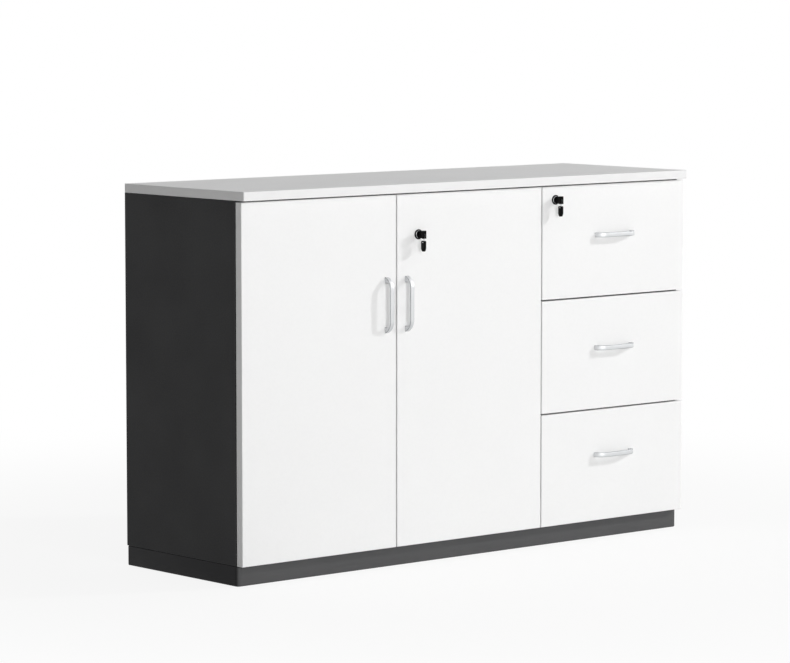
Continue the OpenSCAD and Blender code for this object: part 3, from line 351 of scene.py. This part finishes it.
def closeForm(form, name, smooth=True, sharpFrom=None):
    # Turns a form into a mesh, with edges sharp from an angle in degrees
    bmesh.ops.recalc_face_normals(form, faces=form.faces)
    for each in form.faces:
        each.smooth = smooth
    mesh = bpy.data.meshes.new(name)
    form.to_mesh(mesh)
    form.free()
    if sharpFrom is not None:
        mesh.set_sharp_from_angle(angle=math.radians(sharpFrom))
    return mesh


def joinRows(form, rows):
    # Skin over closed rows of points, from each row to the next and from the last to the first
    count = len(rows[0])
    for i, row in enumerate(rows):
        following = rows[(i + 1) % len(rows)]
        for k in range(count):
            after = (k + 1) % count
            form.faces.new((row[k], following[k], following[after], row[after]))


def roundedPrism(outline, depth, bevel, place):
    # Flat outline drawn in (u, v), pushed along w, with small rounds on all its edges. Where an
    # outline turns by less than the edge angle, it is a curve and keeps no edge.
    edgeAngle = math.radians(25)
    form = bmesh.new()
    flat = [form.verts.new((u, v, 0.0)) for u, v in outline]
    base = form.faces.new(flat)
    pushed = bmesh.ops.extrude_face_region(form, geom=[base])
    moved = [g for g in pushed["geom"] if isinstance(g, bmesh.types.BMVert)]
    bmesh.ops.translate(form, verts=moved, vec=(0.0, 0.0, depth))
    bmesh.ops.recalc_face_normals(form, faces=form.faces)
    sharp = [e for e in form.edges if e.calc_face_angle(0.0) > edgeAngle]
    bmesh.ops.bevel(form, geom=sharp, offset=bevel, segments=3, profile=0.5, affect="EDGES",
                    clamp_overlap=True)
    for vert in form.verts:
        vert.co = place(*vert.co)
    return closeForm(form, "prism", sharpFrom=35)


def arcPoints(centre, radius, fromDegrees, toDegrees, steps):
    sweep = toDegrees - fromDegrees
    turns = [math.radians(fromDegrees + sweep * i / steps) for i in range(steps + 1)]
    return [(centre[0] + radius * math.cos(t), centre[1] + radius * math.sin(t)) for t in turns]


print("handles")
bowHandle = {"length": 0.112, "reach": 0.018, "width": 0.0095, "thickness": 0.0036,
             "bendRadius": 0.026, "toe": 0.044, "edgeRound": 0.0011, "outerSteps": 18,
             "innerSteps": 14}


def handleOutline(look):
    reach, thick, bend, toe = (look[k] for k in ("reach", "thickness", "bendRadius", "toe"))
    drop = bend - reach
    centre = (look["length"] / 2 - math.sqrt(bend * bend - drop * drop), -drop)
    start = math.degrees(math.asin(drop / bend))
    outer = arcPoints(centre, bend, start, 90, look["outerSteps"])
    # The inner arc ends where the foot's straight side meets it
    inner = bend - thick
    end = math.degrees(math.acos((toe - centre[0]) / inner))
    inside = arcPoints(centre, inner, 90, end, look["innerSteps"])
    right = [(toe, 0.0)] + outer
    left = [(-u, v) for u, v in reversed(right)]
    return right + left + [(-u, v) for u, v in reversed(inside)] + inside


handles = [("left_door_handle", "left_door", True), ("right_door_handle", "right_door", True)] + [
    ("drawer_%d_handle" % n, "drawer_%d" % n, False) for n in (1, 2, 3)]
for nodeName, body, upright in handles:
    low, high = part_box(nodeName)
    middle = (Vector(low) + Vector(high)) / 2
    foot = high[1]
    half = bowHandle["width"] / 2

    def handlePlace(u, v, w):
        if upright:
            return middle.x + w - half, foot - v, middle.z + u
        return middle.x + u, foot - v, middle.z + w - half

    mesh = roundedPrism(handleOutline(bowHandle), bowHandle["width"], bowHandle["edgeRound"],
                        handlePlace)
    takeMesh(nodeName.replace("handle", "bow_handle"), mesh,
             "handleUpright" if upright else "handleLying", body, [nodeName])


print("base")
baseRing = {"halfLength": 0.5995, "front": -0.1615, "rear": 0.1937, "height": 0.04,
            "wall": 0.002, "topFlange": 0.022, "footFlange": 0.014, "fold": 0.0025,
            "foldSteps": 5, "frontRadius": 0.008, "rearRadius": 0.004, "cornerSteps": 8}


def ringSection(look):
    # Channel section: u runs inwards from the outer face, v upwards
    height, wall, fold = look["height"], look["wall"], look["fold"]
    foot, top, steps = look["footFlange"], look["topFlange"], look["foldSteps"]
    return ([(foot, 0.0), (foot, wall), (wall, wall),
             (wall, height - wall), (top, height - wall), (top, height)]
            + arcPoints((fold, height - fold), fold, 90, 180, steps)
            + arcPoints((fold, fold), fold, 180, 270, steps))


def sweptRing(look):
    section = ringSection(look)
    steps = look["cornerSteps"]
    front, rear = (look["front"], -1, look["frontRadius"]), (look["rear"], 1, look["rearRadius"])
    form = bmesh.new()
    rows = []
    for side, (edge, outward, radius), startTurn in ((1, front, -90), (1, rear, 0),
                                                     (-1, rear, 90), (-1, front, 180)):
        centre = (side * (look["halfLength"] - radius), edge - outward * radius)
        for step in range(steps + 1):
            turn = math.radians(startTurn + 90 * step / steps)
            row = []
            for u, v in section:
                if u <= radius:
                    spot = (centre[0] + (radius - u) * math.cos(turn),
                            centre[1] + (radius - u) * math.sin(turn))
                else:
                    # Further in than the round: the flanges meet on the mitre
                    spot = (centre[0] - side * (u - radius), centre[1] - outward * (u - radius))
                row.append(form.verts.new((spot[0], spot[1], v)))
            rows.append(row)
    joinRows(form, rows)
    bmesh.ops.remove_doubles(form, verts=form.verts, dist=1e-6)
    bmesh.ops.dissolve_degenerate(form, edges=form.edges, dist=1e-7)
    return closeForm(form, "ring", sharpFrom=30)


takeMesh("base_ring", sweptRing(baseRing), "basePaint", "carcass",
         ["base_frame"])


print("keys")
foldingKey = {
    "gripWidth": 0.0118, "gripThickness": 0.0046, "gripTop": 0.0122, "gripLength": 0.0214,
    "gripRound": 0.0008, "shoulder": 0.0022, "shoulderSteps": 5,
    "ringThickness": 0.0015, "reach": 0.021, "pinSetback": 0.004,
    "eyeRadius": 0.0028, "eyeSpan": (-35, 215), "eyeSteps": 16, "tongueHalf": 0.0024,
    "tongueLength": 0.0155, "tongueThickness": 0.002, "tongueRound": 0.0002,
    "rivetDrop": 0.0032, "rivetRadius": 0.0009, "rivetHeight": 0.0003, "rivetSink": 0.0001,
    "rivetSides": 20,
    # Inset from the side and height over the end, along the grip's lower corner
    "gripEnd": ((0.0, 0.0062), (0.0003, 0.005), (0.0024, 0.0008), (0.0034, 0.0)),
    # Shares of the radius and of the height, along a rivet head's profile
    "rivetProfile": ((1.0, 0.0), (1.0, 0.6), (0.85, 0.93), (0.6, 1.0))}


def keyGrip(lockX, lockZ, tipY, look):
    width, top, corner = look["gripWidth"], look["gripTop"], look["shoulder"]
    low, steps = -top - look["gripLength"], look["shoulderSteps"]
    outline = (arcPoints((width - corner, -top - corner), corner, 0, 90, steps)
               + arcPoints((corner, -top - corner), corner, 90, 180, steps)
               + [(inset, low + rise) for inset, rise in look["gripEnd"]]
               + [(width - inset, low + rise) for inset, rise in reversed(look["gripEnd"])])
    half = look["gripThickness"] / 2
    return roundedPrism(outline, look["gripThickness"], look["gripRound"],
                        lambda u, v, w: (lockX + w - half, tipY + u, lockZ + v))


def keyTongue(lockX, lockZ, pinY, look):
    outline = (arcPoints((0.0, 0.0), look["eyeRadius"], *look["eyeSpan"], look["eyeSteps"])
               + [(-look["tongueHalf"], -look["tongueLength"]),
                  (look["tongueHalf"], -look["tongueLength"])])
    half = look["tongueThickness"] / 2
    return roundedPrism(outline, look["tongueThickness"], look["tongueRound"],
                        lambda u, v, w: (lockX + w - half, pinY + u, lockZ + v))


def addRivet(form, centre, way, look):
    # Low round head with a rounded rim, standing out of centre along X
    across, up, sides = Vector((0, way, 0)), Vector((0, 0, 1)), look["rivetSides"]
    rings = []
    for reach, out in look["rivetProfile"]:
        middle = Vector(centre) + Vector((way * look["rivetHeight"] * out, 0, 0))
        turns = [2 * math.pi * i / sides for i in range(sides)]
        rings.append([form.verts.new(middle + (across * math.cos(t) + up * math.sin(t))
                                     * look["rivetRadius"] * reach) for t in turns])
    for lower, upper in zip(rings, rings[1:]):
        for i in range(sides):
            j = (i + 1) % sides
            form.faces.new((lower[i], lower[j], upper[j], upper[i]))
    form.faces.new(rings[-1])
    form.faces.new(rings[0][::-1])


for lockName, bodyName in (("door", "door_key"), ("drawer", "drawer_key")):
    nodeName = lockName + "_key_bow"
    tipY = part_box(nodeName)[0][1]
    lockLow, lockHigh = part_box(lockName + "_lock_body")
    lockX = (lockLow[0] + lockHigh[0]) / 2
    lockZ = (lockLow[2] + lockHigh[2]) / 2
    takeMesh(lockName + "_key_grip", keyGrip(lockX, lockZ, tipY, foldingKey), "blackAbs",
             bodyName, [nodeName])
    # Steel tongue between grip and head, with its eye round the fold pin
    pinY = (lockLow[1] + foldingKey["ringThickness"] - foldingKey["reach"]
            + foldingKey["pinSetback"])
    takeMesh(lockName + "_key_tongue", keyTongue(lockX, lockZ, pinY, foldingKey), "keySteel",
             bodyName)
    # Rivet heads that hold the grip to the tongue
    form = bmesh.new()
    proud = foldingKey["gripThickness"] / 2 - foldingKey["rivetSink"]
    rivetZ = lockZ - foldingKey["gripTop"] - foldingKey["rivetDrop"]
    for way in (-1, 1):
        addRivet(form, (lockX + way * proud, tipY + foldingKey["gripWidth"] / 2, rivetZ), way,
                 foldingKey)
    takeMesh(lockName + "_key_rivets", closeForm(form, "rivets", smooth=False), "keySteel",
             bodyName)


print("lock rims")
lockRim = {"radius": 0.0070, "wire": 0.0005, "segments": 48, "wireSides": 8}
for lockName, bodyName in (("door", "right_door"), ("drawer", "drawer_1")):
    low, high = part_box(lockName + "_lock_body")
    centre = Vector(((low[0] + high[0]) / 2, low[1], (low[2] + high[2]) / 2))
    form = bmesh.new()
    rings = []
    for i in range(lockRim["segments"]):
        turn = 2 * math.pi * i / lockRim["segments"]
        outward = Vector((math.cos(turn), 0, math.sin(turn)))
        ring = []
        for k in range(lockRim["wireSides"]):
            bend = 2 * math.pi * k / lockRim["wireSides"]
            out = lockRim["radius"] + lockRim["wire"] * math.cos(bend)
            ring.append(form.verts.new(centre + outward * out
                                       + Vector((0, lockRim["wire"] * math.sin(bend), 0))))
        rings.append(ring)
    joinRows(form, rings)
    takeMesh(lockName + "_lock_rim", closeForm(form, "rim"), "keySteel", bodyName)


print("screws")
# Shares of a screw's greatest radius that tell its head, its shank and the points on its axis
screwParts = {"headFrom": 0.97, "shankTo": 0.9, "onAxis": 0.0002}


def readIslands(nodeName):
    # The points of each solid of a node
    form = bmesh.new()
    form.from_mesh(nodes[nodeName].data)
    bmesh.ops.remove_doubles(form, verts=form.verts, dist=1e-6)
    left = set(form.verts)
    islands = []
    while left:
        stack, island = [left.pop()], []
        while stack:
            vert = stack.pop()
            island.append(vert.co.copy())
            for edge in vert.link_edges:
                other = edge.other_vert(vert)
                if other in left:
                    left.remove(other)
                    stack.append(other)
        islands.append(island)
    form.free()
    return islands


def readScrew(island):
    # Where a screw's head sits, which way it points and its sizes
    low = Vector([min(c[i] for c in island) for i in range(3)])
    high = Vector([max(c[i] for c in island) for i in range(3)])
    size = high - low
    middle = (low + high) / 2
    # The axis is the odd one out of the three sizes
    spread = [abs(size[(i + 1) % 3] - size[(i + 2) % 3]) for i in range(3)]
    axis = spread.index(min(spread))
    others = [(axis + k) % 3 for k in (1, 2)]
    radii = [math.hypot(*(c[i] - middle[i] for i in others)) for c in island]
    big = max(radii)
    headEnds = [c[axis] for c, r in zip(island, radii) if r > big * screwParts["headFrom"]]
    shankRadii = [r for r in radii if screwParts["onAxis"] < r < big * screwParts["shankTo"]]
    nearHigh = abs(max(headEnds) - high[axis]) < abs(min(headEnds) - low[axis])
    way = Vector((0, 0, 0))
    way[axis] = 1.0 if nearHigh else -1.0
    seat = middle.copy()
    seat[axis] = min(headEnds) if nearHigh else max(headEnds)
    headHeight = max(headEnds) - min(headEnds)
    shankRadius = max(shankRadii, default=0.0)
    return {"seat": seat, "way": way, "headSize": (big, big, headHeight),
            "shankSize": (shankRadius, shankRadius, size[axis] - headHeight)}


def screwTree():
    # Unit head with a cross recess and unit shank, put on points and scaled by the points' sizes
    tree = bpy.data.node_groups.new("cross-head screws", "GeometryNodeTree")
    face = tree.interface
    face.new_socket("Points", in_out="INPUT", socket_type="NodeSocketGeometry")
    for name, value in (("Rim Height", 0.55), ("Crown Radius", 0.62), ("Recess Width", 0.22),
                        ("Recess Reach", 1.05), ("Recess Depth", 0.6)):
        socket = face.new_socket(name, in_out="INPUT", socket_type="NodeSocketFloat")
        socket.default_value = value
    face.new_socket("Finish", in_out="INPUT", socket_type="NodeSocketMaterial")
    face.new_socket("Geometry", in_out="OUTPUT", socket_type="NodeSocketGeometry")
    given = addNode(tree, "NodeGroupInput").outputs
    headSides, shankSides = 24, 16

    def moved(geometry, **how):
        return addNode(tree, "GeometryNodeTransform", inputs={
            "Geometry": geometry, **how}).outputs[0]

    def lifted(geometry, height):
        lift = addNode(tree, "ShaderNodeCombineXYZ", inputs={"Z": height})
        return moved(geometry, Translation=lift.outputs[0])

    rim = addNode(tree, "GeometryNodeMeshCylinder", inputs={
        "Vertices": headSides, "Radius": 1.0, "Depth": given["Rim Height"]})
    crown = addNode(tree, "GeometryNodeMeshCone", inputs={
        "Vertices": headSides, "Radius Top": given["Crown Radius"], "Radius Bottom": 1.0,
        "Depth": calculate(tree, "SUBTRACT", 1.0, given["Rim Height"])})
    head = addNode(tree, "GeometryNodeMeshBoolean", {"operation": "UNION"})
    for each in (lifted(rim.outputs["Mesh"], calculate(tree, "MULTIPLY", given["Rim Height"], 0.5)),
                 lifted(crown.outputs["Mesh"], given["Rim Height"])):
        tree.links.new(each, head.inputs["Mesh 2"])
    recess = addNode(tree, "ShaderNodeCombineXYZ", inputs={
        "X": given["Recess Reach"], "Y": given["Recess Width"], "Z": given["Recess Depth"]})
    bar = addNode(tree, "GeometryNodeMeshCube", inputs={"Size": recess.outputs[0]})
    firstBar = moved(bar.outputs["Mesh"], Translation=(0, 0, 1.0))
    secondBar = moved(firstBar, Rotation=(0, 0, math.radians(90)))
    cut = addNode(tree, "GeometryNodeMeshBoolean", {"operation": "DIFFERENCE"}, {
        "Mesh 1": head.outputs["Mesh"]})
    for each in (firstBar, secondBar):
        tree.links.new(each, cut.inputs["Mesh 2"])
    shank = addNode(tree, "GeometryNodeMeshCylinder", inputs={
        "Vertices": shankSides, "Radius": 1.0, "Depth": 1.0})
    hungShank = moved(shank.outputs["Mesh"], Translation=(0, 0, -0.5))

    def stored(name):
        return addNode(tree, "GeometryNodeInputNamedAttribute", {"data_type": "FLOAT_VECTOR"}, {
            "Name": name}).outputs["Attribute"]

    turn = addNode(tree, "FunctionNodeAlignRotationToVector", {"axis": "Z"}, {
        "Vector": stored("way")})
    parts = addNode(tree, "GeometryNodeJoinGeometry")
    for shape, sizeName in ((cut.outputs["Mesh"], "headSize"), (hungShank, "shankSize")):
        put = addNode(tree, "GeometryNodeInstanceOnPoints", inputs={
            "Points": given["Points"], "Instance": shape, "Rotation": turn.outputs["Rotation"],
            "Scale": stored(sizeName)})
        tree.links.new(put.outputs["Instances"], parts.inputs["Geometry"])
    real = addNode(tree, "GeometryNodeRealizeInstances", inputs={"Geometry": parts.outputs[0]})
    shown = addNode(tree, "GeometryNodeSetMaterial", inputs={
        "Geometry": real.outputs[0], "Material": given["Finish"]})
    addNode(tree, "NodeGroupOutput", inputs={"Geometry": shown.outputs[0]})
    return tree


def growScrews(tree, nodeName, finish):
    screws = [readScrew(island) for island in readIslands(nodeName)]
    points = bpy.data.meshes.new(nodeName + "_points")
    points.from_pydata([s["seat"] for s in screws], [], [])
    for name in ("way", "headSize", "shankSize"):
        attribute = points.attributes.new(name, "FLOAT_VECTOR", "POINT")
        attribute.data.foreach_set("vector", [c for s in screws for c in s[name]])
    holder = bpy.data.objects.new(nodeName + "_points", points)
    scene.collection.objects.link(holder)
    modifier = holder.modifiers.new("screws", "NODES")
    modifier.node_group = tree
    sockets = {s.name: s.identifier for s in tree.interface.items_tree if s.in_out == "INPUT"}
    modifier[sockets["Finish"]] = finishes[finish]
    ready = holder.evaluated_get(bpy.context.evaluated_depsgraph_get())
    mesh = bpy.data.meshes.new_from_object(ready)
    bpy.data.objects.remove(holder)
    return mesh


crossHeads = screwTree()
screwNodes = [("fitting_screws", "carcass", "nickel"), ("carcass_screws", "carcass", "zinc"),
              ("left_door_screws", "left_door", "nickel"),
              ("right_door_screws", "right_door", "nickel")] + [
    ("drawer_%d_screws" % n, "drawer_%d" % n, "nickel") for n in (1, 2, 3)]
for nodeName, body, finish in screwNodes:
    takeMesh(nodeName + "_cross_head", growScrews(crossHeads, nodeName, finish), finish, body,
             [nodeName])


# Room

def seenDirectly(tree):
    # 1 for camera, glossy and transmission rays, 0 for the light that falls on things
    path = addNode(tree, "ShaderNodeLightPath").outputs
    either = calculate(tree, "MAXIMUM", path["Is Camera Ray"], path["Is Glossy Ray"])
    return calculate(tree, "MAXIMUM", either, path["Is Transmission Ray"])


print("room")
room = {"floorSize": 60.0, "floor": "#F4F4F3", "nearShare": 0.88, "fadeSpan": (0.8, 2.2),
        "skySpan": (-0.8, 0.9), "skyLight": (0.10, 0.62)}
white = (1, 1, 1, 1)
floorMesh = bpy.data.meshes.new("floor")
half = room["floorSize"] / 2
floorMesh.from_pydata([(-half, -half, 0), (half, -half, 0), (half, half, 0), (-half, half, 0)],
                      [], [(0, 1, 2, 3)])
floor = bpy.data.objects.new("floor", floorMesh)
scene.collection.objects.link(floor)
floorMaterial = bpy.data.materials.new("matt white studio floor")
floorMaterial.use_nodes = True
tree = floorMaterial.node_tree
tree.nodes.clear()
matt = addNode(tree, "ShaderNodeBsdfDiffuse", inputs={"Color": hexColour(room["floor"])})
pale = addNode(tree, "ShaderNodeEmission", inputs={"Color": white, "Strength": 1.0})
spot = addNode(tree, "ShaderNodeTexCoord")
distance = addNode(tree, "ShaderNodeVectorMath", {"operation": "LENGTH"}, {
    0: spot.outputs["Object"]})
fade = remap(tree, distance.outputs["Value"], room["fadeSpan"], (room["nearShare"], 1.0),
             smooth=True)
mixed = addNode(tree, "ShaderNodeMixShader", inputs={
    0: calculate(tree, "MULTIPLY", seenDirectly(tree), fade), 1: matt.outputs[0],
    2: pale.outputs[0]})
addNode(tree, "ShaderNodeOutputMaterial", inputs={"Surface": mixed.outputs[0]})
floorMesh.materials.append(floorMaterial)

world = bpy.data.worlds.new("studio")
scene.world = world
world.use_nodes = True
tree = world.node_tree
tree.nodes.clear()
sky = addNode(tree, "ShaderNodeTexCoord")
aim = addNode(tree, "ShaderNodeSeparateXYZ", inputs={"Vector": sky.outputs["Generated"]})
glow = remap(tree, aim.outputs["X"], room["skySpan"], room["skyLight"], smooth=True)
background = addNode(tree, "ShaderNodeBackground", inputs={
    "Color": white, "Strength": mixValues(tree, seenDirectly(tree), glow, 1.0)})
addNode(tree, "ShaderNodeOutputWorld", inputs={"Surface": background.outputs[0]})

lamps = {
    # name: where it stands, size in metres, watts, where it points
    "front softbox": ((-1.4, -5.6, 1.3), 2.4, 121.0, (-0.1, 0.0, 0.35)),
    "right key": ((5.0, -2.8, 3.0), 0.5, 141.0, (0.1, -0.1, 0.4)),
    "rear fill": ((0.8, 5.5, 1.6), 2.4, 45.0, (0.0, 0.2, 0.35)),
}
for name, (place, size, watts, target) in lamps.items():
    lamp = bpy.data.lights.new(name, "AREA")
    lamp.shape = "DISK"
    lamp.size = size
    lamp.energy = watts
    lampObject = bpy.data.objects.new(name, lamp)
    lampObject.location = place
    aimed = Vector(target) - Vector(place)
    lampObject.rotation_euler = aimed.to_track_quat("-Z", "Y").to_euler()
    scene.collection.objects.link(lampObject)

view = {"place": (-4.9663, -5.6756, 1.1840), "turn": 40.855, "tilt": 5.584, "lens": 167.53,
        "sensorWidth": 36.0, "clipStart": 0.1, "clipEnd": 100.0}
cameraData = bpy.data.cameras.new("photo view")
cameraData.lens = view["lens"]
cameraData.sensor_width = view["sensorWidth"]
cameraData.clip_start, cameraData.clip_end = view["clipStart"], view["clipEnd"]
camera = bpy.data.objects.new("photo view", cameraData)
camera.location = view["place"]
camera.rotation_euler = (math.radians(90 - view["tilt"]), 0.0, math.radians(-view["turn"]))
scene.collection.objects.link(camera)
scene.camera = camera
